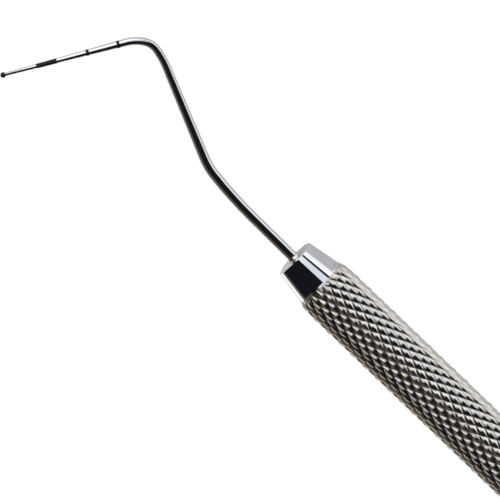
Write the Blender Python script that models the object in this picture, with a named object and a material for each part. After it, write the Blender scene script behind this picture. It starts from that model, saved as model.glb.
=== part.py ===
"""A ball-ended periodontal probe: a solid round handle with four nose flats, and a bent, tapered probe wire.

The wire's tang sits in the handle's nose with a braze fillet round its root. The last 12 mm of the wire carry
a wide black band, two thin black rings and a black coat on the ball, all measured from the ball's end.

Handle frame: +X runs along the handle from the nose face to the tip, the wire bends in the XY plane, and the
ball is on the +Y side. The instrument is laid down by turning that frame about its X axis, until the handle and
the back of the upper bend both touch z = 0.
"""

import math

import bmesh
import bpy
from mathutils import Matrix, Vector

MM = 0.001

# Handle
HANDLE_LENGTH = 130.0 * MM
HANDLE_RADIUS = 3.0 * MM
HANDLE_SIDES = 48
GRIP_SIDES = 24
NOSE_RADIUS = 2.03 * MM
NOSE_BACK_RADIUS = 2.575 * MM
NOSE_LENGTH = 3.25 * MM
RUN_UP = 1.25 * MM
EDGE_BREAK = 0.05 * MM
BORE_RADIUS = 0.56 * MM
BORE_DEPTH = 9.0 * MM
BORE_SIDES = 24

# The four milled flats follow the nose taper
FLAT_SHARE = 0.875
FLAT_COUNT = 4
FLAT_TURN = math.radians(-23.8)
FLAT_LENGTH = 3.2 * MM

# Wire: path from the nose face to the ball, as (length) runs and (radius, turn) bends
TANG_DEPTH = 8.0 * MM
WIRE_PATH = (
    ("run", 0.3 * MM),
    ("bend", 20.0 * MM, -0.8),
    ("run", 5.2 * MM),
    ("bend", 43.6 * MM, -7.0),
    ("bend", 6.9 * MM, -15.6),
    ("run", 9.22 * MM),
    ("bend", 9.0 * MM, 12.5),
    ("bend", 1.95 * MM, 44.2),
    ("bend", 4.1 * MM, 25.1),
)
TIP_LENGTH = 12.2 * MM
WIRE_SIDES = 16
BEND_STEP = math.radians(4.0)
LONGEST_RUN = 4.0 * MM

# Wire diameter against distance from the ball's end
WIRE_TAPER = (
    (0.0, 0.35 * MM),
    (5.5 * MM, 0.48 * MM),
    (11.5 * MM, 0.70 * MM),
    (14.5 * MM, 0.78 * MM),
    (26.0 * MM, 1.00 * MM),
    (29.0 * MM, 1.05 * MM),
)

# Ball and marks
BALL_RADIUS = 0.275 * MM
COAT_WALL = 0.04 * MM
COAT_GAP = 0.01 * MM
COAT_PROUD = 0.01 * MM
COAT_SIDES = 24
BALL_STEPS = 8
BAND = (3.5 * MM, 5.5 * MM)
RING_MARKS = {"depth_ring_8_5": 8.5 * MM, "depth_ring_11_5": 11.5 * MM}
RING_WIDTH = 0.28 * MM

# Braze fillet round the wire's root
FILLET_RADIUS = 0.72 * MM
FILLET_LENGTH = 0.35 * MM
FILLET_STEPS = 5
FILLET_GAP = 0.01 * MM

STEEL = (0.62, 0.62, 0.63, 1.0)
WIRE_STEEL = (0.66, 0.66, 0.67, 1.0)
BRAZE = (0.70, 0.67, 0.60, 1.0)
BLACK = (0.012, 0.013, 0.018, 1.0)


def clear_scene():
    for old in list(bpy.data.objects):
        bpy.data.objects.remove(old, do_unlink=True)


def make_material(name, colour, roughness, metallic):
    material = bpy.data.materials.new(name)
    material.use_nodes = True
    shader = material.node_tree.nodes["Principled BSDF"]
    shader.inputs["Base Color"].default_value = colour
    shader.inputs["Roughness"].default_value = roughness
    shader.inputs["Metallic"].default_value = metallic
    return material


def add_piece(name, mesh_data, parent, material):
    """Closes off a bmesh as a named object under its parent, shaded smooth with sharp edges."""
    bmesh.ops.recalc_face_normals(mesh_data, faces=mesh_data.faces)
    mesh = bpy.data.meshes.new(name)
    mesh_data.to_mesh(mesh)
    mesh_data.free()
    mesh.shade_smooth()
    mesh.set_sharp_from_angle(angle=math.radians(30))
    mesh.materials.append(material)
    piece = bpy.data.objects.new(name, mesh)
    bpy.context.scene.collection.objects.link(piece)
    piece.parent = parent
    return piece


def add_ring(mesh_data, place, radius, sides):
    """A ring of points round the local X axis of place, or one point where the radius is zero."""
    if radius == 0:
        return [mesh_data.verts.new(place.translation)]
    angles = (2 * math.pi * (i + 0.5) / sides for i in range(sides))
    return [
        mesh_data.verts.new(place @ Vector((0, radius * math.cos(a), radius * math.sin(a))))
        for a in angles
    ]


def join_rings(mesh_data, rings):
    """Walls between rings in turn; a ring of one point closes to a fan."""
    for low, high in zip(rings, rings[1:]):
        sides = max(len(low), len(high))
        for i in range(sides):
            j = (i + 1) % sides
            corners = [low[i % len(low)], low[j % len(low)], high[j % len(high)], high[i % len(high)]]
            mesh_data.faces.new(list(dict.fromkeys(corners)))


def turned(profile, place, sides, is_loop=False):
    """A solid turned about the local X axis of place from (x, radius) points. A profile that is no loop is
    closed by flat ends, or by a point where its radius is zero."""
    solid = bmesh.new()
    rings = [add_ring(solid, place @ Matrix.Translation((x, 0, 0)), r, sides) for x, r in profile]
    join_rings(solid, rings + rings[:1] if is_loop else rings)
    if not is_loop:
        for end in (rings[0], rings[-1]):
            if len(end) > 1:
                solid.faces.new(end)
    return solid


def wire_stations():
    """(point, heading, travelled) along the wire's centre line, from the end of the tang to the ball's end."""
    point, heading, travelled = Vector((-TANG_DEPTH, 0)), 0.0, -TANG_DEPTH
    stations = [(point.copy(), heading, travelled)]

    def run(length):
        nonlocal point, travelled
        steps = math.ceil(length / LONGEST_RUN)
        for _ in range(steps):
            point = point + Vector((math.cos(heading), math.sin(heading))) * (length / steps)
            travelled += length / steps
            stations.append((point.copy(), heading, travelled))

    def bend(radius, turn):
        nonlocal point, heading, travelled
        steps = math.ceil(abs(turn) / BEND_STEP)
        for _ in range(steps):
            middle = heading + turn / steps / 2
            chord = 2 * radius * math.sin(abs(turn) / steps / 2)
            point = point + Vector((math.cos(middle), math.sin(middle))) * chord
            heading += turn / steps
            travelled += radius * abs(turn) / steps
            stations.append((point.copy(), heading, travelled))

    run(TANG_DEPTH)
    for kind, *sizes in WIRE_PATH:
        if kind == "run":
            run(*sizes)
        else:
            bend(sizes[0], math.radians(sizes[1]))
    return stations


def wire_radius(from_end):
    """The bare wire's radius at a distance from the ball's end."""
    for (near, thin), (far, thick) in zip(WIRE_TAPER, WIRE_TAPER[1:]):
        if from_end <= far:
            return (thin + (thick - thin) * (from_end - near) / (far - near)) / 2
    return WIRE_TAPER[-1][1] / 2


def place_on(point, heading):
    return Matrix.Translation((point.x, point.y, 0)) @ Matrix.Rotation(heading, 4, "Z")


def mark_spans():
    """Each mark's (nearest, farthest) distance from the ball's end, by its name."""
    spans = {"depth_band": BAND}
    for name, middle in RING_MARKS.items():
        spans[name] = (middle - RING_WIDTH / 2, middle + RING_WIDTH / 2)
    return spans


def ball_arc(radius, neck_radius):
    """(distance from the ball's end, radius) points from the neck round to the ball's end."""
    start = math.asin(neck_radius / radius)
    angles = [start + (math.pi - start) * i / BALL_STEPS for i in range(BALL_STEPS + 1)]
    arc = [(BALL_RADIUS + radius * math.cos(a), radius * math.sin(a)) for a in angles]
    arc[-1] = (BALL_RADIUS - radius, 0.0)
    return arc


def tip_profile():
    """(distance from the ball's end, radius) points of the straight tip, with a shallow groove for each mark."""
    depth = COAT_WALL + COAT_GAP
    profile = []
    for near, far in sorted(mark_spans().values(), reverse=True):
        top, bottom = far + COAT_GAP, near - COAT_GAP
        profile += [(top, wire_radius(top)), (top, wire_radius(top) - depth)]
        profile += [(bottom, wire_radius(bottom) - depth), (bottom, wire_radius(bottom))]
    return profile + ball_arc(BALL_RADIUS - depth, wire_radius(BALL_RADIUS))


def probe_wire(stations, end_place, total):
    """Tang, bent shank, straight tip and ball core as one body."""
    wire = bmesh.new()
    rings = [
        add_ring(wire, place_on(point, heading), wire_radius(total - travelled), WIRE_SIDES)
        for point, heading, travelled in stations
    ]
    rings += [
        add_ring(wire, end_place @ Matrix.Translation((-from_end, 0, 0)), radius, WIRE_SIDES)
        for from_end, radius in tip_profile()
    ]
    join_rings(wire, rings)
    wire.faces.new(rings[0])
    return wire


def mark_sleeve(span, end_place):
    """A black sleeve in its groove, standing just proud of the bare wire."""
    near, far = span
    outer = [(-far, wire_radius(far) + COAT_PROUD), (-near, wire_radius(near) + COAT_PROUD)]
    inner = [(x, radius - COAT_PROUD - COAT_WALL) for x, radius in reversed(outer)]
    clear = 1 / math.cos(math.pi / COAT_SIDES)
    return turned(outer + [(x, radius * clear) for x, radius in inner], end_place, COAT_SIDES, True)


def ball_coat(end_place):
    """The black coat over the ball, open at the neck."""
    neck = wire_radius(BALL_RADIUS) + COAT_GAP * 2
    outer = ball_arc(BALL_RADIUS, neck)
    inner = ball_arc(BALL_RADIUS - COAT_WALL, neck)
    profile = [(-x, radius) for x, radius in reversed(outer)] + [(-x, radius) for x, radius in inner]
    return turned(profile, end_place, COAT_SIDES)


def braze_fillet():
    """A concave ring of braze between the nose face and the wire's root."""
    bore = (wire_radius(HANDLE_LENGTH) + FILLET_GAP) / math.cos(math.pi / BORE_SIDES)
    rise = FILLET_LENGTH - FILLET_GAP
    curve = []
    for i in range(FILLET_STEPS + 1):
        angle = math.pi / 2 * i / FILLET_STEPS
        spread = (FILLET_RADIUS - bore - COAT_WALL) * (1 - math.sin(angle))
        curve.append((FILLET_GAP + rise * (1 - math.cos(angle)), bore + COAT_WALL + spread))
    start, end = curve[0][0], curve[-1][0]
    return turned(curve + [(end, bore), (start, bore)], Matrix.Identity(4), BORE_SIDES, True)


def handle_blank(facet_turn):
    """The turned bar: nose taper, run-up to the grip, plain grip and a plain tapered butt. The grip has half as
    many sides, wide enough for the instrument to lie still on one of them."""
    grip_start, butt = NOSE_LENGTH + RUN_UP, HANDLE_LENGTH
    profile = [
        (0.0, NOSE_RADIUS - EDGE_BREAK),
        (EDGE_BREAK, NOSE_RADIUS),
        (NOSE_LENGTH, NOSE_BACK_RADIUS),
        (grip_start, HANDLE_RADIUS),
        (butt - grip_start, HANDLE_RADIUS),
        (butt - NOSE_LENGTH, NOSE_BACK_RADIUS),
        (butt - EDGE_BREAK, NOSE_RADIUS),
        (butt, NOSE_RADIUS - EDGE_BREAK),
    ]
    place = Matrix.Rotation(facet_turn + math.pi / HANDLE_SIDES, 4, "X")
    blank = turned([(-x, r) for x, r in profile], place, HANDLE_SIDES)
    onto_side = Matrix.Diagonal((1, math.cos(math.pi / GRIP_SIDES), math.cos(math.pi / GRIP_SIDES), 1))
    for index, vertex in enumerate(blank.verts):
        if index % 2 and math.hypot(vertex.co.y, vertex.co.z) > 0.999 * HANDLE_RADIUS:
            vertex.co = onto_side @ vertex.co
    return blank


def flat_cutter(index):
    """A block whose lower face is one milled flat: it follows the nose taper at FLAT_SHARE of its radius."""
    slope = math.atan((NOSE_BACK_RADIUS - NOSE_RADIUS) / NOSE_LENGTH * FLAT_SHARE)
    turn = FLAT_TURN + index * 2 * math.pi / FLAT_COUNT
    size = HANDLE_RADIUS * 2
    block = bmesh.new()
    bmesh.ops.create_cube(block, size=1.0)
    bmesh.ops.scale(block, vec=(FLAT_LENGTH * 2, size, size), verts=block.verts)
    bmesh.ops.translate(block, vec=(0, 0, size / 2), verts=block.verts)
    tilt = Matrix.Rotation(slope, 4, "Y")
    lift = Matrix.Translation((0, 0, NOSE_RADIUS * FLAT_SHARE))
    bmesh.ops.transform(block, matrix=Matrix.Rotation(turn, 4, "X") @ lift @ tilt, verts=block.verts)
    return block


def cut(piece, cutter):
    """Cuts one object out of another and keeps the cutter as a hidden guide."""
    cutter.hide_render = True
    cutter.display_type = "WIRE"
    boolean = piece.modifiers.new(cutter.name, "BOOLEAN")
    boolean.operation = "DIFFERENCE"
    boolean.object = cutter


def add_handle(parent, facet_turn, steel):
    handle = add_piece("handle", handle_blank(facet_turn), parent, steel)
    bore = [(-BORE_DEPTH, BORE_RADIUS), (BORE_DEPTH, BORE_RADIUS)]
    bore_cutter = turned(bore, Matrix.Identity(4), BORE_SIDES)
    cut(handle, add_piece("tang_bore_cutter", bore_cutter, parent, steel))
    for index in range(FLAT_COUNT):
        cut(handle, add_piece(f"nose_flat_cutter_{index + 1}", flat_cutter(index), parent, steel))


def centre_on_origin(parent):
    """Moves the pieces together, so that the middle of their outline from above is over the origin."""
    bpy.context.view_layer.update()
    pieces = [child for child in parent.children if not child.hide_render]
    points = [piece.matrix_world @ vertex.co for piece in pieces for vertex in piece.data.vertices]
    for axis in (0, 1):
        along = [point[axis] for point in points]
        parent.location[axis] -= (min(along) + max(along)) / 2


def main():
    clear_scene()
    steel = make_material("polished_steel", STEEL, 0.22, 1.0)
    wire_steel = make_material("polished_wire_steel", WIRE_STEEL, 0.12, 1.0)
    braze = make_material("silver_braze", BRAZE, 0.25, 1.0)
    black = make_material("black_mark", BLACK, 0.35, 0.0)

    stations = wire_stations()
    last_point, last_heading, travelled = stations[-1]
    total = travelled + TIP_LENGTH
    end_place = place_on(last_point, last_heading) @ Matrix.Translation((TIP_LENGTH, 0, 0))

    # The handle rests on one facet, and the lowest point of the upper bend rests beside it.
    apex, _, apex_travelled = min(stations, key=lambda station: station[0].y)
    axis_height = HANDLE_RADIUS * math.cos(math.pi / GRIP_SIDES)
    lean = math.asin((axis_height - wire_radius(total - apex_travelled)) / -apex.y)

    laid_down = bpy.data.objects.new("laid_down", None)
    bpy.context.scene.collection.objects.link(laid_down)
    laid_down.location = (0, 0, axis_height)
    laid_down.rotation_euler = (lean, 0, 0)

    add_handle(laid_down, -lean, steel)
    add_piece("probe_shank", probe_wire(stations, end_place, total), laid_down, wire_steel)
    add_piece("braze_fillet", braze_fillet(), laid_down, braze)
    add_piece("ball_coat", ball_coat(end_place), laid_down, black)
    for name, span in mark_spans().items():
        add_piece(name, mark_sleeve(span, end_place), laid_down, black)
    centre_on_origin(laid_down)


if __name__ == "__main__":
    main()
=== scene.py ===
"""A ball-ended periodontal probe on a pale studio floor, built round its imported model.

The instrument lies on the floor. The back of its upper bend touches z = 0, and the knurl's crests come just
short of it. New pieces are made in the handle's own frame and laid down at the end. There, +X runs from the
nose face to the tip, the wire bends in the XY plane, and the ball is on the +Y side.
"""

import logging
import math
from collections.abc import Callable, Iterator
from contextlib import contextmanager
from dataclasses import dataclass, field
from enum import Enum

import bmesh
import bpy
from mathutils import Matrix, Vector


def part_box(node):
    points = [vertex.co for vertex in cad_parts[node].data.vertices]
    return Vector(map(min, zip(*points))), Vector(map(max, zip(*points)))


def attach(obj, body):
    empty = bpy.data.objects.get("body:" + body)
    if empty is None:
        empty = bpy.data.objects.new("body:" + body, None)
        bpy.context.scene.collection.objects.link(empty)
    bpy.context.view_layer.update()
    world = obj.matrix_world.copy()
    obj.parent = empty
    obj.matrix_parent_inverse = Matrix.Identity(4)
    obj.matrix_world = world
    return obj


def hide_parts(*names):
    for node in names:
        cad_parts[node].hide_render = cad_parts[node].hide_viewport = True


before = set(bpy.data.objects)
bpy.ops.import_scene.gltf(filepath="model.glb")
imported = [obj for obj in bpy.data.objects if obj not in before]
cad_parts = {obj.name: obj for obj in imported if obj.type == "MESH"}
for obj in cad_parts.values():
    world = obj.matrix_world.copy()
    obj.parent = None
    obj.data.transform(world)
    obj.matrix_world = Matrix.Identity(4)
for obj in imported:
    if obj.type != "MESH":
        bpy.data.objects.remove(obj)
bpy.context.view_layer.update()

MM = 0.001
TINY = 1e-6  # how near a point must be to a place to count as being there
WELD = 0.0005 * MM  # points closer than this are merged
ALONG = 0.99  # an edge's least share of +X to count as running straight along the bar
TAPERED = 0.9  # the same for an edge that follows the nose's taper
SMALL_SHARP = 40.0  # edges of the small pieces that turn more than these degrees stay sharp
WHITE = (1.0, 1.0, 1.0, 1.0)
log = logging.getLogger("probe")


class Element(Enum):
    """What an edit-mode selection is made of."""

    VERT = "VERT"
    EDGE = "EDGE"
    FACE = "FACE"


class Slot(Enum):
    """The record's material slots."""

    HANDLE = "handle_steel"
    WIRE = "wire_steel"
    BRAZE = "braze"
    MARK = "black_mark"


# ---------------------------------------------------------------------------------------------------------
# The bench: operators on one mesh at a time
# ---------------------------------------------------------------------------------------------------------


@dataclass
class Workpiece:
    """One mesh on the bench. Each move acts on what is selected.

    Attributes:
        obj: The mesh object being worked.
    """

    obj: bpy.types.Object

    @classmethod
    def begin(cls, name: str, adder: Callable[..., set], **sizes: object) -> "Workpiece":
        """Adds a primitive and makes it the workpiece.

        Args:
            name: The new object's name.
            adder: The primitive's operator.
            sizes: The operator's own settings, in metres.

        Returns:
            The new workpiece.
        """
        bpy.ops.object.select_all(action="DESELECT")
        adder(**sizes)
        obj = bpy.context.object
        bpy.ops.object.transform_apply(location=True, rotation=True, scale=True)
        obj.name = obj.data.name = name
        return cls(obj)

    @contextmanager
    def editing(self, element: Element) -> Iterator[None]:
        """Holds the workpiece in edit mode, with nothing selected at first.

        Args:
            element: What selections are made of.
        """
        self.take()
        bpy.ops.object.mode_set(mode="EDIT")
        bpy.ops.mesh.select_mode(type=element.value)
        bpy.ops.mesh.select_all(action="DESELECT")
        yield
        bpy.ops.object.mode_set(mode="OBJECT")

    def take(self) -> None:
        """Makes this the only selected and active object."""
        bpy.ops.object.select_all(action="DESELECT")
        self.obj.select_set(True)
        bpy.context.view_layer.objects.active = self.obj

    def pick(self, element: Element, test: Callable[..., bool]) -> None:
        """Selects only what passes a test of its place.

        Args:
            element: The kind of element to test.
            test: For a vertex it gets the place. For an edge it gets the middle and the direction. For a
                face it gets the middle and the normal.
        """
        bpy.ops.mesh.select_mode(type=element.value)
        bpy.ops.mesh.select_all(action="DESELECT")
        mesh = bmesh.from_edit_mesh(self.obj.data)
        if element is Element.VERT:
            chosen = [v for v in mesh.verts if test(v.co)]
        elif element is Element.EDGE:
            ends = [(e, e.verts[0].co, e.verts[1].co) for e in mesh.edges]
            chosen = [e for e, a, b in ends if test((a + b) / 2, (b - a).normalized())]
        else:
            chosen = [f for f in mesh.faces if test(f.calc_center_median(), f.normal)]
        for item in chosen:
            item.select_set(True)
        mesh.select_flush_mode()
        bmesh.update_edit_mesh(self.obj.data)

    def push_out(self, by: Vector, turn: float = 0.0, grow: float = 1.0, centre: Vector = Vector()) -> None:
        """Extrudes what is selected, then turns it about Z and scales it.

        Args:
            by: How far the new end moves.
            turn: Its turn about Z, in radians.
            grow: The ratio of its new size to its old size.
            centre: The place it turns and grows about.
        """
        bpy.ops.mesh.extrude_region_move(TRANSFORM_OT_translate={"value": by})
        if turn:
            bpy.ops.transform.rotate(value=-turn, orient_axis="Z", center_override=centre)
        if grow != 1.0:
            bpy.ops.transform.resize(value=(grow, grow, grow), center_override=centre)

    def modify(self, kind: str, **settings: object) -> None:
        """Adds a modifier and applies it.

        Args:
            kind: The modifier's type.
            settings: Its settings by name.
        """
        self.take()
        modifier = self.obj.modifiers.new(kind.title(), kind)
        for name, value in settings.items():
            setattr(modifier, name, value)
        bpy.ops.object.modifier_apply(modifier=modifier.name)

    def combine(self, other: "Workpiece", operation: str) -> None:
        """Cuts this piece with another, or keeps what both share, and throws the other away.

        Args:
            other: The cutter.
            operation: The Boolean's operation.
        """
        self.modify("BOOLEAN", operation=operation, object=other.obj, solver="EXACT")
        bpy.data.objects.remove(other.obj, do_unlink=True)

    def mend_normals(self) -> None:
        """Merges doubled points and turns every face outwards."""
        with self.editing(Element.VERT):
            bpy.ops.mesh.select_all(action="SELECT")
            bpy.ops.mesh.remove_doubles(threshold=WELD)
            bpy.ops.mesh.normals_make_consistent(inside=False)

    def finish(self, place: Matrix, sharp: float) -> bpy.types.Object:
        """Shades the piece and moves its mesh to its place, with the object left at the origin.

        Args:
            place: Where the piece's own frame goes.
            sharp: Edges that turn more than this many degrees stay sharp.

        Returns:
            The finished object.
        """
        self.take()
        bpy.ops.object.shade_smooth_by_angle(angle=math.radians(sharp))
        self.obj.matrix_world = place
        bpy.ops.object.transform_apply(location=True, rotation=True, scale=True)
        return self.obj


@dataclass(frozen=True)
class LaidDown:
    """How the instrument lies on the floor.

    Attributes:
        nose: The middle of the handle's nose face.
        lean: The turn of the bend's plane about the handle's axis, in radians.
        handle_length: The handle's length.
    """

    nose: Vector
    lean: float
    handle_length: float

    @classmethod
    def from_frame(cls) -> "LaidDown":
        """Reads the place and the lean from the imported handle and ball.

        Returns:
            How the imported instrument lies.
        """
        low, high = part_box("handle")
        axis = (low + high) / 2
        ball_low, ball_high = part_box("ball_coat")
        ball = (ball_low + ball_high) / 2
        lean = math.atan2(ball.z - axis.z, ball.y - axis.y)
        return cls(Vector((high.x, axis.y, axis.z)), lean, high.x - low.x)

    @property
    def matrix(self) -> Matrix:
        """The handle's own frame, as a matrix."""
        return Matrix.Translation(self.nose) @ Matrix.Rotation(self.lean, 4, "X")


# ---------------------------------------------------------------------------------------------------------
# Materials
# ---------------------------------------------------------------------------------------------------------


def linear(colour: str) -> tuple[float, float, float, float]:
    """Turns an sRGB hex colour to linear light.

    Args:
        colour: The colour, such as "c8c9cc".

    Returns:
        Red, green, blue and alpha.
    """
    parts = [int(colour[i : i + 2], 16) / 255 for i in (0, 2, 4)]
    light = [c / 12.92 if c <= 0.04045 else ((c + 0.055) / 1.055) ** 2.4 for c in parts]
    return (*light, 1.0)


def add_node(
    tree: bpy.types.NodeTree, kind: str, settings: dict | None = None, **links: object
) -> bpy.types.Node:
    """Adds a node with its settings and what goes into it.

    Args:
        tree: The material's node tree.
        kind: The node's type.
        settings: The node's own properties by name.
        links: What each input gets, by its name with underscores for spaces, or by in_ and its number. An
            output socket is linked, and anything else is set.

    Returns:
        The new node.
    """
    node = tree.nodes.new(kind)
    for name, value in (settings or {}).items():
        setattr(node, name, value)
    for name, value in links.items():
        key = int(name[3:]) if name.startswith("in_") else name.replace("_", " ")
        if isinstance(value, bpy.types.NodeSocket):
            tree.links.new(value, node.inputs[key])
        else:
            node.inputs[key].default_value = value
    return node


def new_material(name: str) -> tuple[bpy.types.Material, bpy.types.NodeTree, bpy.types.Node]:
    """Makes a material that holds only its shader.

    Args:
        name: The material's name.

    Returns:
        The material, its node tree and its Principled shader.
    """
    material = bpy.data.materials.new(name)
    material.use_nodes = True
    tree = material.node_tree
    return material, tree, tree.nodes["Principled BSDF"]


def add_relief(
    tree: bpy.types.NodeTree,
    shader: bpy.types.Node,
    where: bpy.types.NodeSocket,
    scale: float,
    detail: float,
    depth: float,
) -> bpy.types.Node:
    """Gives a surface fine irregular relief.

    Args:
        tree: The material's node tree.
        shader: Its shader.
        where: The coordinates that the relief follows.
        scale: How many grains there are in a unit of those coordinates.
        detail: How much finer relief is on the grains.
        depth: The relief's depth.

    Returns:
        The noise node that makes the relief.
    """
    noise = add_node(tree, "ShaderNodeTexNoise", Vector=where, Scale=scale, Detail=detail)
    bump = add_node(tree, "ShaderNodeBump", Height=noise.outputs[0], Distance=depth, Strength=1.0)
    tree.links.new(bump.outputs[0], shader.inputs["Normal"])
    return noise


def object_place(tree: bpy.types.NodeTree) -> bpy.types.NodeSocket:
    """Returns the surface's own coordinates, in metres."""
    return add_node(tree, "ShaderNodeTexCoord").outputs["Object"]


def set_bare_metal(shader: bpy.types.Node, colour: str, roughness: float) -> None:
    """Sets a shader to one plain metal.

    Args:
        shader: The shader.
        colour: The metal's colour.
        roughness: Its roughness.
    """
    shader.inputs["Base Color"].default_value = linear(colour)
    shader.inputs["Roughness"].default_value = roughness
    shader.inputs["Metallic"].default_value = 1.0


@dataclass(frozen=True)
class KnurledSteel:
    """Martensitic stainless bar, form-knurled and then polished on a wheel.

    To the eye: sharp white and black facets, with crests brighter than the valleys. The valleys' darker grey
    is painted shade, which deepens from the crests down into the grooves.
    """

    name: str = "stainless_knurled_and_polished"
    peak_colour: str = "dddcda"
    # painted shade: the darker grey that the valleys get, standing in for the shade in the knurl's grooves
    valley_shade_colour: str = "b6b1aa"
    roughness: float = 0.15
    valley_roughness: float = 0.2
    pit_size: float = 0.14 * MM
    pit_depth: float = 0.014 * MM

    def make(self, laid: LaidDown, root: float, peak: float) -> bpy.types.Material:
        """Builds the material.

        Args:
            laid: The handle's place, for patterns round its axis.
            root: The nominal radius at the knurl's valleys.
            peak: The nominal radius at the knurl's peaks.

        Returns:
            The material.
        """
        material, tree, shader = new_material(self.name)
        place = object_place(tree)
        maths = "ShaderNodeVectorMath"
        centred = add_node(tree, maths, {"operation": "SUBTRACT"}, in_0=place, in_1=laid.nose)
        across = add_node(tree, maths, {"operation": "MULTIPLY"}, in_0=centred.outputs[0], in_1=(0, 1, 1))
        radius = add_node(tree, maths, {"operation": "LENGTH"}, in_0=across.outputs[0])
        height = add_node(tree, "ShaderNodeMapRange", in_0=radius.outputs["Value"], in_1=root, in_2=peak)
        # painted shade: the colour darkens by radius, from the crests down into the valleys
        colour = add_node(
            tree,
            "ShaderNodeMix",
            {"data_type": "RGBA"},
            in_0=height.outputs[0],
            in_6=linear(self.valley_shade_colour),
            in_7=linear(self.peak_colour),
        )
        polish = add_node(
            tree,
            "ShaderNodeMapRange",
            in_0=height.outputs[0],
            in_3=self.valley_roughness,
            in_4=self.roughness,
        )
        add_relief(tree, shader, place, 1 / self.pit_size, 3.0, self.pit_depth)
        tree.links.new(colour.outputs[2], shader.inputs["Base Color"])
        tree.links.new(polish.outputs[0], shader.inputs["Roughness"])
        shader.inputs["Metallic"].default_value = 1.0
        return material


@dataclass(frozen=True)
class TurnedSteel:
    """The same bar where it is turned or milled and buffed.

    To the eye: close to a mirror, with faint tool lines across it.

    Attributes:
        line_pitch: The distance between tool lines, as coarse as it needs to be to show.
        line_length: How far a line runs before it fades.
    """

    name: str = "stainless_turned_and_buffed"
    colour: str = "cdced1"
    roughness: float = 0.07
    line_pitch: float = 0.09 * MM
    line_length: float = 1 / 60.0
    line_depth: float = 0.0006 * MM

    def make(self) -> bpy.types.Material:
        """Builds the material.

        Returns:
            The material.
        """
        material, tree, shader = new_material(self.name)
        shrink = (1 / self.line_pitch, 1 / self.line_length, 1 / self.line_length)
        rings = add_node(tree, "ShaderNodeMapping", in_0=object_place(tree), in_3=shrink)
        add_relief(tree, shader, rings.outputs[0], 1.0, 2.0, self.line_depth)
        set_bare_metal(shader, self.colour, self.roughness)
        return material


@dataclass(frozen=True)
class DrawnWire:
    """Hard stainless wire, ground to its taper and polished lengthwise.

    To the eye: long clean highlights, very slightly broken by fine lines that follow the bends.
    """

    name: str = "stainless_wire_ground_and_polished"
    colour: str = "cccccd"
    roughness: float = 0.09
    line_width: float = 0.06 * MM
    line_length: float = 1.8 * MM
    line_depth: float = 0.0012 * MM

    def make(self) -> bpy.types.Material:
        """Builds the material.

        Returns:
            The material.
        """
        material, tree, shader = new_material(self.name)
        straight = add_node(tree, "ShaderNodeAttribute", {"attribute_name": ProbeWire.STRAIGHT})
        shrink = (1 / self.line_length, 1 / self.line_width, 1 / self.line_width)
        stretch = add_node(tree, "ShaderNodeMapping", in_0=straight.outputs["Vector"], in_3=shrink)
        add_relief(tree, shader, stretch.outputs[0], 1.0, 2.0, self.line_depth)
        set_bare_metal(shader, self.colour, self.roughness)
        return material


@dataclass(frozen=True)
class SilverBraze:
    """Silver braze, flowed by heat and buffed over.

    To the eye: a softer, slightly warm metal between the two steels.
    """

    name: str = "silver_braze_buffed"
    colour: str = "c9c7c2"
    roughness: float = 0.22
    ripple_size: float = 0.35 * MM
    ripple_depth: float = 0.01 * MM

    def make(self) -> bpy.types.Material:
        """Builds the material.

        Returns:
            The material.
        """
        material, tree, shader = new_material(self.name)
        add_relief(tree, shader, object_place(tree), 1 / self.ripple_size, 2.0, self.ripple_depth)
        set_bare_metal(shader, self.colour, self.roughness)
        return material


@dataclass(frozen=True)
class BakedEnamel:
    """Black enamel baked into a shallow groove.

    To the eye: near black with a satin skin and a faint blue cast.
    """

    name: str = "black_enamel_baked"
    colour: str = "0b0c10"
    worn_colour: str = "15171c"
    roughness: float = 0.28
    gloss: float = 0.25
    grain_size: float = 0.08 * MM
    grain_depth: float = 0.002 * MM

    def make(self) -> bpy.types.Material:
        """Builds the material.

        Returns:
            The material.
        """
        material, tree, shader = new_material(self.name)
        place = object_place(tree)
        grain = add_relief(tree, shader, place, 1 / self.grain_size, 3.0, self.grain_depth)
        colour = add_node(
            tree,
            "ShaderNodeMix",
            {"data_type": "RGBA"},
            in_0=grain.outputs[0],
            in_6=linear(self.colour),
            in_7=linear(self.worn_colour),
        )
        tree.links.new(colour.outputs[2], shader.inputs["Base Color"])
        shader.inputs["Roughness"].default_value = self.roughness
        shader.inputs["Specular IOR Level"].default_value = self.gloss
        return material


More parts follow.
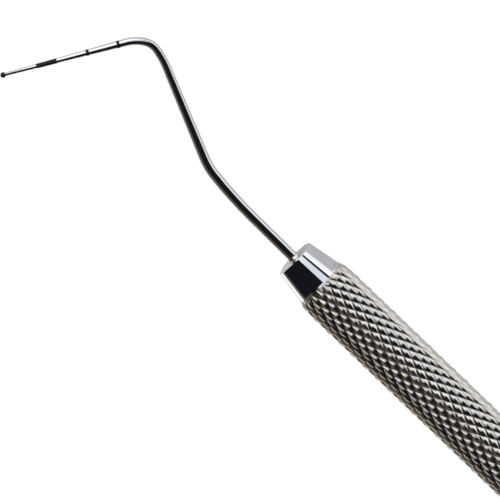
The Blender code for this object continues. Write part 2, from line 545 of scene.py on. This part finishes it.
@dataclass(frozen=True)
class WhitePaper:
    """Matt white paper, evenly lit.

    To the eye: a clean white ground that keeps only a trace of shade, and a bright lower side on the steel.

    Attributes:
        seen_white: The brightness of the plain white that is mixed into what the camera sees.
        whitening: The share of that plain white.
        glow: The painted light that the paper gives out, which only the steel's reflections need.
        glow_reach: Where the glow begins and where it is full, away from the handle's axis. Closer in, the
            missing glow is a painted shadow beside the handle, seen in the steel's reflections.
    """

    name: str = "matt_white_paper"
    colour: str = "f4f4f4"
    seen_white: float = 1.08
    whitening: float = 0.9
    glow: float = 0.7
    glow_reach: tuple[float, float] = (5.0 * MM, 14.0 * MM)

    def make(self, laid: LaidDown) -> bpy.types.Material:
        """Builds the material.

        Args:
            laid: The handle's place, for the glow beside it.

        Returns:
            The material.
        """
        material, tree, shader = new_material(self.name)
        shader.inputs["Base Color"].default_value = linear(self.colour)
        shader.inputs["Roughness"].default_value = 1.0
        shader.inputs["Specular IOR Level"].default_value = 0.0
        maths = "ShaderNodeVectorMath"
        aside = add_node(tree, maths, {"operation": "SUBTRACT"}, in_0=object_place(tree), in_1=laid.nose)
        across = add_node(tree, "ShaderNodeSeparateXYZ", in_0=aside.outputs[0])
        away = add_node(tree, "ShaderNodeMath", {"operation": "ABSOLUTE"}, in_0=across.outputs["Y"])
        near, far = self.glow_reach
        glow = add_node(
            tree,
            "ShaderNodeMapRange",
            {"interpolation_type": "SMOOTHSTEP"},
            in_0=away.outputs[0],
            in_1=near,
            in_2=far,
            in_4=self.glow,
        )
        # painted light: the paper glows for every ray but the camera's, and less near the handle as a
        # painted shadow
        painted_floor_glow = add_node(tree, "ShaderNodeEmission", Color=WHITE, Strength=glow.outputs[0])
        lit = add_node(tree, "ShaderNodeAddShader", in_0=shader.outputs[0], in_1=painted_floor_glow.outputs[0])
        seen = add_node(tree, "ShaderNodeLightPath").outputs["Is Camera Ray"]
        share = add_node(tree, "ShaderNodeMath", {"operation": "MULTIPLY"}, in_0=seen, in_1=self.whitening)
        white = add_node(tree, "ShaderNodeEmission", Color=WHITE, Strength=self.seen_white)
        paper = add_node(
            tree,
            "ShaderNodeMixShader",
            in_0=share.outputs[0],
            in_1=lit.outputs[0],
            in_2=white.outputs[0],
        )
        tree.links.new(paper.outputs[0], tree.nodes["Material Output"].inputs["Surface"])
        return material


def hand_over(piece: bpy.types.Object, node: str) -> None:
    """Puts a finished piece in its CAD node's place.

    Args:
        piece: The finished piece.
        node: The CAD node it stands for.
    """
    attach(piece, "root")
    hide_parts(node)
    log.info("%s replaces %s: %d faces", piece.name, node, len(piece.data.polygons))


# ---------------------------------------------------------------------------------------------------------
# The handle
# ---------------------------------------------------------------------------------------------------------


@dataclass
class Handle:
    """The handle: a diamond-knurled grip, a turned nose with four milled flats, and a plain butt.

    Attributes:
        laid: How the instrument lies.
        peak_radius: The grip's nominal radius, which the rounded crests come just short of.
        root_radius: The radius at the knurl's grooves.
        crest_rise: How many times the knurl's nominal depth a crest starts at, before rounding lowers it.
        starts: The knurl's grooves round the handle, in each direction.
        groove_pitch: The distance along the axis between grooves of one direction.
        ramp_reach: How far behind the nose the knurl begins to sink, for each of its two steps.
        run_up: The length over which the outer form grows from the nose's back to the crests.
        clearance: The outer form's middle radius, as a multiple of the nominal one.
        flat_share: A flat's distance from the axis, as a share of the nose's radius.
        buffed_edge: The width of the rounding on the flats' long edges.
        edge_slack: How far round the handle an edge may be from a flat's edge and still count as one.
        sharp_angle: Edges that turn more than this many degrees stay sharp.
        face_weight: How strongly large faces rule the shading, from 1 to 100.
    """

    laid: LaidDown
    peak_radius: float = 3.0 * MM
    root_radius: float = 2.71 * MM
    crest_rise: float = 1.7
    starts: int = 20
    groove_pitch: float = 1.6 * MM
    course_weld: float = 0.002 * MM
    ramp_reach: tuple[float, float] = (1.2 * MM, 0.4 * MM)
    nose_radius: float = 2.03 * MM
    nose_back_radius: float = 2.575 * MM
    nose_length: float = 3.25 * MM
    run_up: float = 1.25 * MM
    clearance: float = 1.05
    edge_break: float = 0.05 * MM
    flat_share: float = 0.875
    flat_turn: float = math.radians(-23.8)
    flat_length: float = 3.2 * MM
    buffed_edge: float = 0.12 * MM
    edge_slack: float = math.radians(0.4)
    bore_radius: float = 0.56 * MM
    bore_depth: float = 9.0 * MM
    bore_sides: int = 48
    turned_sides: int = 160
    sharp_angle: float = 48.0
    face_weight: int = 80

    def knurl_course(self) -> Workpiece:
        """Models one course of knurl, an open ring of diamonds one pitch long.

        Returns:
            The course, just ahead of the nose face.
        """
        half_pitch = self.groove_pitch / 2
        columns = 2 * self.starts
        column_turn = 2 * math.pi / columns
        bar = Workpiece.begin(
            "knurled_handle",
            bpy.ops.mesh.primitive_cylinder_add,
            vertices=columns,
            radius=self.root_radius,
            depth=self.groove_pitch,
            end_fill_type="NOTHING",
            location=(half_pitch, 0, 0),
            rotation=(0, math.pi / 2, 0),
        )

        def is_peak(place: Vector) -> bool:
            """Tells the diamonds' peaks from the grooves' crossings."""
            row = round(place.x / half_pitch)
            column = round(math.atan2(place.z, place.y) / column_turn)
            return (row + column) % 2 == 1

        with bar.editing(Element.EDGE):
            bar.pick(Element.EDGE, lambda middle, way: abs(way.x) > ALONG)
            bpy.ops.mesh.subdivide(number_cuts=1)
            bar.pick(Element.VERT, is_peak)
            rise = 1 + self.crest_rise * (self.peak_radius / self.root_radius - 1)
            bpy.ops.transform.resize(value=(1, rise, rise), center_override=(0, 0, 0))
            bar.pick(Element.VERT, lambda place: not is_peak(place))
            bpy.ops.mesh.vert_connect()
        return bar

    def knurled_bar(self) -> Workpiece:
        """Repeats the course along the bar, sinks the knurl towards both ends and rounds its worn crests.

        Returns:
            The bar, capped at both ends and a little longer than the handle.
        """
        bar = self.knurl_course()
        courses = math.ceil(self.laid.handle_length / self.groove_pitch) + 2
        bar.modify(
            "ARRAY",
            count=courses,
            use_relative_offset=False,
            use_constant_offset=True,
            constant_offset_displace=(-self.groove_pitch, 0, 0),
            use_merge_vertices=True,
            merge_threshold=self.course_weld,
        )
        half_length = self.laid.handle_length / 2
        shrink = math.sqrt(self.nose_back_radius / self.root_radius)
        groove_reach = 1.001 * self.root_radius
        with bar.editing(Element.VERT):
            for reach in self.ramp_reach:
                from_middle = half_length - self.nose_length - reach
                bar.pick(Element.VERT, lambda place: abs(place.x + half_length) > from_middle)
                bpy.ops.transform.resize(value=(1, shrink, shrink), center_override=(0, 0, 0))
        with bar.editing(Element.EDGE):
            bar.pick(Element.EDGE, lambda middle, way: math.hypot(middle.y, middle.z) < groove_reach)
            bpy.ops.transform.edge_crease(value=1.0)
            bpy.ops.mesh.select_all(action="DESELECT")
            bpy.ops.mesh.select_non_manifold()
            bpy.ops.mesh.edge_face_add()
        bar.modify("SUBSURF", levels=1, render_levels=1)
        bar.mend_normals()
        return bar

    def envelope(self) -> Workpiece:
        """Turns the outer form: a nose and a butt on a plain middle that clears the knurl's peaks.

        Returns:
            The turned form, which is as long as the handle.
        """
        length = self.laid.handle_length
        clear = self.clearance * self.peak_radius
        grip = length - 2 * self.nose_length
        form = Workpiece.begin(
            "turned_form",
            bpy.ops.mesh.primitive_cylinder_add,
            vertices=self.turned_sides,
            radius=self.nose_back_radius,
            depth=grip,
            location=(-length / 2, 0, 0),
            rotation=(0, math.pi / 2, 0),
        )
        slope = self.run_up / (self.peak_radius - self.nose_back_radius)
        ramp = (clear - self.nose_back_radius) * slope
        taper = self.nose_radius / self.nose_back_radius
        with form.editing(Element.FACE):
            for side, end_x in ((1, 0.0), (-1, -length)):
                back_x = end_x - side * self.nose_length
                outwards = Vector((side * self.nose_length, 0, 0))
                form.pick(Element.FACE, lambda middle, normal: abs(middle.x - back_x) < TINY)
                form.push_out(outwards, grow=taper, centre=Vector((end_x, 0, 0)))
            form.pick(Element.EDGE, lambda middle, way: abs(way.x) > ALONG)
            bpy.ops.mesh.subdivide(number_cuts=2)  # two cuts leave a middle third to widen and lengthen
            form.pick(Element.VERT, lambda place: abs(place.x + length / 2) < grip / 2 - TINY)
            grow = clear / self.nose_back_radius
            bpy.ops.transform.resize(value=(1, grow, grow), center_override=(0, 0, 0))
            inner_half = grip / 6
            stretch = (grip / 2 - ramp) / inner_half
            bpy.ops.transform.resize(value=(stretch, 1, 1), center_override=(-length / 2, 0, 0))
            for end_x in (0.0, -length):
                form.pick(Element.EDGE, lambda middle, way: abs(middle.x - end_x) < TINY)
                bpy.ops.mesh.bevel(offset=self.edge_break, segments=3)
        return form

    def cut_flats(self, form: Workpiece) -> None:
        """Mills the four flats into the nose, along its taper."""
        rise = (self.nose_back_radius - self.nose_radius) * self.flat_share
        slope = math.atan(rise / self.nose_length)
        size = 2 * self.peak_radius
        for index in range(4):
            cutter = Workpiece.begin("flat_cutter", bpy.ops.mesh.primitive_cube_add, size=1.0)
            cutter.obj.dimensions = (2 * self.flat_length, size, size)
            bpy.ops.object.transform_apply(location=True, rotation=True, scale=True)
            raise_it = Matrix.Translation((0, 0, size / 2))
            lift = Matrix.Translation((0, 0, self.nose_radius * self.flat_share))
            turn = Matrix.Rotation(self.flat_turn + index * math.pi / 2, 4, "X")
            cutter.obj.matrix_world = turn @ lift @ Matrix.Rotation(slope, 4, "Y") @ raise_it
            bpy.ops.object.transform_apply(location=True, rotation=True, scale=True)
            form.combine(cutter, "DIFFERENCE")

    def buff(self, form: Workpiece) -> None:
        """Rounds the long edges of the flats, as the buffing wheel does."""
        half_width = math.acos(self.flat_share)

        def is_flat_edge(middle: Vector, way: Vector) -> bool:
            """Tells the flats' long edges from the rest."""
            turn = (math.atan2(-middle.y, middle.z) - self.flat_turn) % (math.pi / 2)
            beside = min(abs(turn - half_width), abs(turn - math.pi / 2 + half_width))
            in_reach = -self.flat_length < middle.x < 0
            return in_reach and abs(way.x) > TAPERED and beside < self.edge_slack

        with form.editing(Element.EDGE):
            form.pick(Element.EDGE, is_flat_edge)
            bpy.ops.mesh.bevel(offset=self.buffed_edge, segments=4, clamp_overlap=True)

    def drill(self, form: Workpiece) -> None:
        """Drills the blind bore for the wire's tang."""
        drill = Workpiece.begin(
            "drill",
            bpy.ops.mesh.primitive_cylinder_add,
            vertices=self.bore_sides,
            radius=self.bore_radius,
            depth=2 * self.bore_depth,
            rotation=(0, math.pi / 2, 0),
        )
        form.combine(drill, "DIFFERENCE")

    def build(self) -> None:
        """Builds the handle as one piece and dresses its grip and its plain ends."""
        form = self.envelope()
        self.cut_flats(form)
        self.buff(form)
        self.drill(form)
        bar = self.knurled_bar()
        bar.combine(form, "INTERSECT")
        piece = bar.finish(self.laid.matrix, sharp=self.sharp_angle)
        bar.modify("WEIGHTED_NORMAL", keep_sharp=True, weight=self.face_weight)
        self.dress(piece)
        hand_over(piece, "handle")

    def dress(self, piece: bpy.types.Object) -> None:
        """Gives the grip the knurled finish, and the nose and the butt the turned one.

        Args:
            piece: The finished handle.
        """
        piece.data.materials.clear()
        piece.data.materials.append(KnurledSteel().make(self.laid, self.root_radius, self.peak_radius))
        piece.data.materials.append(TurnedSteel().make())
        nose_end = self.laid.nose.x - self.nose_length
        butt_end = self.laid.nose.x - self.laid.handle_length + self.nose_length
        for face in piece.data.polygons:
            is_plain = face.center.x > nose_end or face.center.x < butt_end
            face.material_index = int(is_plain)


# ---------------------------------------------------------------------------------------------------------
# The probe wire and its marks
# ---------------------------------------------------------------------------------------------------------


@dataclass
class Station:
    """One cross-section of the wire.

    Attributes:
        point: The centre line's place.
        heading: Its direction in the bend's plane, in radians.
        travelled: The length of wire from the nose face.
        radius: The wire's radius.
    """

    point: Vector
    heading: float
    travelled: float
    radius: float = 0.0

    @property
    def ahead(self) -> Vector:
        """The direction towards the tip."""
        return Vector((math.cos(self.heading), math.sin(self.heading), 0))


@dataclass
class ProbeWire:
    """The bent, tapered wire: tang, shank, straight tip with shallow grooves, and the core of the ball.

    Attributes:
        laid: How the instrument lies.
        bends: The path from the nose face, as (straight run,) and (radius, degrees) in millimetres.
        taper: (distance from the ball's end, diameter) in millimetres.
        end_radius: The last ring of the ball's core, which all but closes it.
    """

    STRAIGHT = "unbent"

    laid: LaidDown
    tang: float = 8.0 * MM
    bends: tuple = (
        *((0.3,), (20.0, -0.8), (5.2,), (43.6, -7.0), (6.9, -15.6), (9.22,)),
        *((9.0, 12.5), (1.95, 44.2), (4.1, 25.1)),
    )
    tip: float = 12.2 * MM
    taper: tuple = ((0.0, 0.35), (5.5, 0.48), (11.5, 0.70), (14.5, 0.78), (26.0, 1.00), (29.0, 1.05))
    bend_step: float = math.radians(2.0)
    sides: int = 40
    ball_radius: float = 0.275 * MM
    coat_wall: float = 0.04 * MM
    coat_gap: float = 0.01 * MM
    ball_steps: int = 12
    end_radius: float = 0.002 * MM
    sharp_angle: float = 35.0
    marks: tuple = ((3.5, 5.5), (8.36, 8.64), (11.36, 11.64))
    stations: list[Station] = field(default_factory=list)

    def __post_init__(self) -> None:
        """Walks the path once, so that every method knows the wire's length."""
        here = Station(Vector((-self.tang, 0, 0)), 0.0, -self.tang)
        path = [here, Station(Vector((0, 0, 0)), 0.0, 0.0)]
        for bend in self.bends:
            here = path[-1]
            if len(bend) == 1:
                length = bend[0] * MM
                path.append(Station(here.point + here.ahead * length, here.heading, here.travelled + length))
                continue
            radius, turn = bend[0] * MM, math.radians(bend[1])
            steps = math.ceil(abs(turn) / self.bend_step)
            for _ in range(steps):
                here = path[-1]
                half = turn / steps / 2
                chord = 2 * radius * math.sin(abs(half))
                middle = Station(here.point, here.heading + half, 0.0)
                travelled = here.travelled + radius * abs(turn) / steps
                path.append(Station(here.point + middle.ahead * chord, here.heading + 2 * half, travelled))
        self.length = path[-1].travelled + self.tip
        for station in path:
            station.radius = self.radius_at(self.length - station.travelled)
        self.stations = path

    def radius_at(self, from_end: float) -> float:
        """The bare wire's radius.

        Args:
            from_end: The distance from the ball's end.

        Returns:
            The radius there.
        """
        for (near, thin), (far, thick) in zip(self.taper, self.taper[1:]):
            if from_end <= far * MM:
                share = (from_end / MM - near) / (far - near)
                return (thin + (thick - thin) * share) / 2 * MM
        return self.taper[-1][1] / 2 * MM

    @property
    def tip_frame(self) -> Matrix:
        """A frame at the ball's end, with +X along the tip."""
        last = self.stations[-1]
        end = last.point + last.ahead * self.tip
        return Matrix.Translation(end) @ Matrix.Rotation(last.heading, 4, "Z")

    def tip_stations(self) -> list[Station]:
        """Works out the straight tip: a groove for each mark, the neck and the ball's core.

        Returns:
            The tip's cross-sections, in turn from the last bend.
        """
        depth = self.coat_wall + self.coat_gap
        last = self.stations[-1]
        profile = []
        for near, far in sorted(self.marks, reverse=True):
            top, bottom = far * MM + self.coat_gap, near * MM - self.coat_gap
            profile += [(top, self.radius_at(top)), (top, self.radius_at(top) - depth)]
            profile += [(bottom, self.radius_at(bottom) - depth), (bottom, self.radius_at(bottom))]
        core = self.ball_radius - depth
        start = math.asin(self.radius_at(self.ball_radius) / core)
        for step in range(self.ball_steps):
            angle = start + (math.pi - start) * step / self.ball_steps
            profile.append((self.ball_radius + core * math.cos(angle), core * math.sin(angle)))
        profile.append((self.ball_radius - core, self.end_radius))
        stations = []
        for from_end, radius in profile:
            point = last.point + last.ahead * (self.tip - from_end)
            stations.append(Station(point, last.heading, self.length - from_end, radius))
        return stations

    def build(self, finish: bpy.types.Material) -> None:
        """Draws the wire out station by station.

        Args:
            finish: The polished wire's material.
        """
        path = self.stations + self.tip_stations()
        wire = Workpiece.begin(
            "probe_wire",
            bpy.ops.mesh.primitive_circle_add,
            vertices=self.sides,
            radius=path[0].radius,
            fill_type="NGON",
            location=path[0].point,
            rotation=(0, math.pi / 2, 0),
        )
        with wire.editing(Element.FACE):
            bpy.ops.mesh.select_all(action="SELECT")
            for last, here in zip(path, path[1:]):
                turn = here.heading - last.heading
                wire.push_out(here.point - last.point, turn, here.radius / last.radius, here.point)
        self.unbend(wire.obj, path)
        wire.mend_normals()
        piece = wire.finish(self.laid.matrix, sharp=self.sharp_angle)
        piece.data.materials.append(finish)
        hand_over(piece, "probe_shank")

    def unbend(self, piece: bpy.types.Object, path: list[Station]) -> None:
        """Stores each point's place on the straight wire, for patterns that follow the bends.

        Args:
            piece: The drawn wire, still in its own frame.
            path: Its stations, one for each ring of points in turn.
        """
        straight = piece.data.attributes.new(self.STRAIGHT, "FLOAT_VECTOR", "POINT")
        for index, vertex in enumerate(piece.data.vertices):
            station = path[index // self.sides]
            away = vertex.co - station.point
            aside = Vector((-station.ahead.y, station.ahead.x, 0))
            straight.data[index].vector = (station.travelled, away.dot(aside), away.z)


@dataclass
class DepthMark:
    """One black sleeve in its groove on the straight tip, standing just proud of the bare wire.

    Attributes:
        wire: The wire it is on.
        node: The CAD node it stands for.
        span: Its nearest and farthest distance from the ball's end, in millimetres.
    """

    wire: ProbeWire
    node: str
    span: tuple[float, float]
    proud: float = 0.01 * MM
    edge_round: float = 0.008 * MM
    sides: int = 64

    def build(self, finish: bpy.types.Material) -> None:
        """Builds the sleeve.

        Args:
            finish: The enamel.
        """
        near, far = (distance * MM for distance in self.span)
        sleeve = Workpiece.begin(
            f"{self.node}_enamel",
            bpy.ops.mesh.primitive_cone_add,
            vertices=self.sides,
            radius1=self.wire.radius_at(far) + self.proud,
            radius2=self.wire.radius_at(near) + self.proud,
            depth=far - near,
            end_fill_type="NOTHING",
            location=(-(near + far) / 2, 0, 0),
            rotation=(0, math.pi / 2, 0),
        )
        sleeve.modify("SOLIDIFY", thickness=self.proud + self.wire.coat_wall, offset=-1)
        sleeve.modify("BEVEL", width=self.edge_round, segments=2, limit_method="ANGLE")
        piece = sleeve.finish(self.wire.laid.matrix @ self.wire.tip_frame, sharp=SMALL_SHARP)
        piece.data.materials.append(finish)
        hand_over(piece, self.node)


@dataclass
class BallCoat:
    """The black coat on the ball, open where the neck comes in."""

    wire: ProbeWire
    segments: int = 64
    rings: int = 32

    def build(self, finish: bpy.types.Material) -> None:
        """Builds the coat.

        Args:
            finish: The enamel.
        """
        radius = self.wire.ball_radius
        ball = Workpiece.begin(
            "ball_enamel",
            bpy.ops.mesh.primitive_uv_sphere_add,
            segments=self.segments,
            ring_count=self.rings,
            radius=radius,
            location=(-radius, 0, 0),
            rotation=(0, math.pi / 2, 0),
        )
        neck = self.wire.radius_at(2 * radius) + self.wire.coat_gap
        neck_x = -radius - math.sqrt(radius**2 - neck**2)
        with ball.editing(Element.FACE):
            bpy.ops.mesh.select_all(action="SELECT")
            bpy.ops.mesh.bisect(plane_co=(neck_x, 0, 0), plane_no=(-1, 0, 0), clear_outer=True)
        ball.modify("SOLIDIFY", thickness=self.wire.coat_wall, offset=-1)
        ball.mend_normals()
        piece = ball.finish(self.wire.laid.matrix @ self.wire.tip_frame, sharp=SMALL_SHARP)
        piece.data.materials.append(finish)
        hand_over(piece, "ball_coat")


@dataclass
class BrazeRing:
    """The small concave ring of braze round the wire's root, a little uneven from its flow.

    Attributes:
        wire: The wire it holds.
        foot: Its radius on the nose face.
        height: How far it climbs the wire.
        wall: How thick it is at its top.
        gap: The space between it and the steel.
        unevenness: How far its skin wanders.
    """

    wire: ProbeWire
    foot: float = 0.72 * MM
    height: float = 0.35 * MM
    wall: float = 0.03 * MM
    gap: float = 0.01 * MM
    steps: int = 8
    sides: int = 64
    unevenness: float = 0.006 * MM
    flow_seed: int = 4

    def build(self) -> None:
        """Builds the ring."""
        root = self.wire.stations[1].radius + self.gap
        ring = Workpiece.begin(
            "braze_ring",
            bpy.ops.mesh.primitive_circle_add,
            vertices=self.sides,
            radius=self.foot,
            fill_type="NOTHING",
            location=(self.gap, 0, 0),
            rotation=(0, math.pi / 2, 0),
        )
        top = root + self.wall
        spread = self.foot - top
        profile = []
        for step in range(1, self.steps + 1):
            angle = math.pi / 2 * step / self.steps
            profile.append((self.height * (1 - math.cos(angle)), top + spread * (1 - math.sin(angle))))
        profile += [(profile[-1][0], root), (self.gap, root)]
        with ring.editing(Element.EDGE):
            bpy.ops.mesh.select_all(action="SELECT")
            x, radius = self.gap, self.foot
            for next_x, next_radius in profile:
                centre = Vector((next_x, 0, 0))
                ring.push_out(Vector((next_x - x, 0, 0)), grow=next_radius / radius, centre=centre)
                x, radius = next_x, next_radius
            bpy.ops.mesh.select_all(action="DESELECT")
            bpy.ops.mesh.select_non_manifold()
            bpy.ops.mesh.bridge_edge_loops()
            ring.pick(Element.VERT, lambda p: math.hypot(p.y, p.z) > root + self.gap and p.x > 2 * self.gap)
            bpy.ops.transform.vertex_random(
                offset=self.unevenness,
                uniform=1.0,
                normal=0.0,
                seed=self.flow_seed,
            )
        ring.mend_normals()
        piece = ring.finish(self.wire.laid.matrix, sharp=SMALL_SHARP)
        piece.data.materials.append(SilverBraze().make())
        hand_over(piece, "braze_fillet")


# ---------------------------------------------------------------------------------------------------------
# The studio
# ---------------------------------------------------------------------------------------------------------


@dataclass(frozen=True)
class Panel:
    """One bright part of the room round the object.

    Attributes:
        colour: Its colour.
        strength: Its brightness.
        edges: Where it fades in, as (direction, share of that direction where it is out, where it is full).
    """

    colour: str
    strength: float
    edges: tuple[tuple[tuple[float, float, float], float, float], ...]


@dataclass
class Studio:
    """A white paper floor, a dark room with four panels, an overhead light and a long-lens camera.

    Attributes:
        laid: How the instrument lies.
        aim: The place that the view is centred on, in the handle's frame.
        tilt: How far the camera leans from the bend plane's normal towards the tip.
        tip_direction: Where the handle's axis points in the view, anticlockwise from the right.
        view_width: How much of the scene the view is wide.
        lens: The focal length in millimetres, so long that the view is nearly parallel.
        room: The colour of the room between its panels.
        panels: The room's bright parts.
    """

    laid: LaidDown
    aim: Vector = field(default_factory=lambda: Vector((3.62 * MM, 2.33 * MM, 0)))
    tilt: float = math.radians(9.1)
    tip_direction: float = math.radians(136.25)
    view_width: float = 47.17 * MM
    lens: float = 1500.0
    sensor: float = 36.0
    floor_size: float = 8.0
    overhead_size: float = 0.8
    overhead_height: float = 0.6
    overhead_power: float = 2.6
    room: str = "1c1d22"
    panels: tuple[Panel, ...] = (
        # a cool soft box, high on the -Y side and towards the tip
        Panel(
            "edf1fb",
            1.3,
            (((1, 0, 0), 0.03, 0.15), ((0.35, -0.94, 0), 0.14, 0.34), ((0, 0, 1), 0.32, 0.38)),
        ),
        # a low white horizon on the -Y side
        Panel("ffffff", 1.7, (((0, 0, -1), -0.22, -0.12), ((0.35, -0.94, 0), 0.40, 0.95))),
        # a warm white wall towards the tip
        Panel("fffdf8", 1.2, (((1, 0, 0), 0.36, 0.52), ((0, -1, 0), 0.0, 0.3), ((0, 0, 1), -0.1, 0.1))),
        # a dim brown wall on the +Y side
        Panel("9a8b74", 0.5, (((0, 1, 0), 0.33, 0.65),)),
    )

    def add_camera(self) -> None:
        """Adds the camera."""
        data = bpy.data.cameras.new("studio_camera")
        data.lens, data.sensor_width = self.lens, self.sensor
        camera = bpy.data.objects.new("studio_camera", data)
        bpy.context.scene.collection.objects.link(camera)
        towards = Vector((math.sin(self.tilt), 0, math.cos(self.tilt)))
        along = Vector((math.cos(self.tilt), 0, -math.sin(self.tilt)))
        aside = Vector((0, 1, 0))
        right = along * math.cos(self.tip_direction) - aside * math.sin(self.tip_direction)
        up = along * math.sin(self.tip_direction) + aside * math.cos(self.tip_direction)
        turn = Matrix((right, up, towards)).transposed().to_4x4()
        distance = self.view_width * self.lens / self.sensor
        camera.matrix_world = self.laid.matrix @ Matrix.Translation(self.aim + towards * distance) @ turn
        bpy.context.scene.camera = camera

    def add_floor(self) -> None:
        """Adds the pale floor."""
        bpy.ops.object.select_all(action="DESELECT")
        bpy.ops.mesh.primitive_plane_add(size=self.floor_size, location=(0, 0, 0))
        floor = bpy.context.object
        floor.name = "studio_floor"
        floor.data.materials.append(WhitePaper().make(self.laid))

    def add_overhead_light(self) -> None:
        """Adds the broad light that whitens the paper. It stays out of the steel's reflections."""
        data = bpy.data.lights.new("overhead_light", "AREA")
        data.shape, data.size, data.energy = "SQUARE", self.overhead_size, self.overhead_power
        light = bpy.data.objects.new("overhead_light", data)
        bpy.context.scene.collection.objects.link(light)
        light.location = (0, 0, self.overhead_height)
        light.visible_glossy = False

    def add_room(self) -> None:
        """Adds a dark room with its bright panels. The camera itself sees plain white past the floor."""
        world = bpy.data.worlds.new("studio_room")
        bpy.context.scene.world = world
        world.use_nodes = True
        tree = world.node_tree
        tree.nodes.clear()
        maths = "ShaderNodeVectorMath"
        way = add_node(tree, "ShaderNodeTexCoord").outputs["Generated"]
        room = add_node(tree, "ShaderNodeRGB").outputs[0]
        room.default_value = linear(self.room)
        for panel in self.panels:
            shape = None
            for direction, out, full in panel.edges:
                along = add_node(tree, maths, {"operation": "DOT_PRODUCT"}, in_0=way, in_1=direction)
                edge = add_node(
                    tree,
                    "ShaderNodeMapRange",
                    {"interpolation_type": "SMOOTHSTEP"},
                    in_0=along.outputs["Value"],
                    in_1=out,
                    in_2=full,
                )
                if shape is not None:
                    both = {"operation": "MULTIPLY"}
                    edge = add_node(tree, "ShaderNodeMath", both, in_0=shape, in_1=edge.outputs[0])
                shape = edge.outputs[0]
            glow = [channel * panel.strength for channel in linear(panel.colour)[:3]]
            lit = add_node(tree, maths, {"operation": "SCALE"}, in_0=glow, Scale=shape)
            total = add_node(tree, maths, {"operation": "ADD"}, in_0=room, in_1=lit.outputs[0])
            room = total.outputs[0]
        seen = add_node(tree, "ShaderNodeLightPath").outputs["Is Camera Ray"]
        shown = add_node(tree, "ShaderNodeMix", {"data_type": "RGBA"}, in_0=seen, in_6=room, in_7=WHITE)
        light = add_node(tree, "ShaderNodeBackground", Color=shown.outputs[2], Strength=1.0)
        add_node(tree, "ShaderNodeOutputWorld", Surface=light.outputs[0])

    def build(self) -> None:
        """Sets up the whole studio."""
        self.add_camera()
        self.add_floor()
        self.add_overhead_light()
        self.add_room()
        bpy.context.scene.view_settings.view_transform = "Standard"


def main() -> None:
    """Builds the instrument and its studio."""
    logging.basicConfig(level=logging.INFO, format="%(message)s")
    laid = LaidDown.from_frame()
    Handle(laid).build()
    wire = ProbeWire(laid)
    wire.build(DrawnWire().make())
    enamel = BakedEnamel().make()
    for node, span in zip(("depth_band", "depth_ring_8_5", "depth_ring_11_5"), wire.marks):
        DepthMark(wire, node, span).build(enamel)
    BallCoat(wire).build(enamel)
    BrazeRing(wire).build()
    Studio(laid).build()


if __name__ == "__main__":
    main()
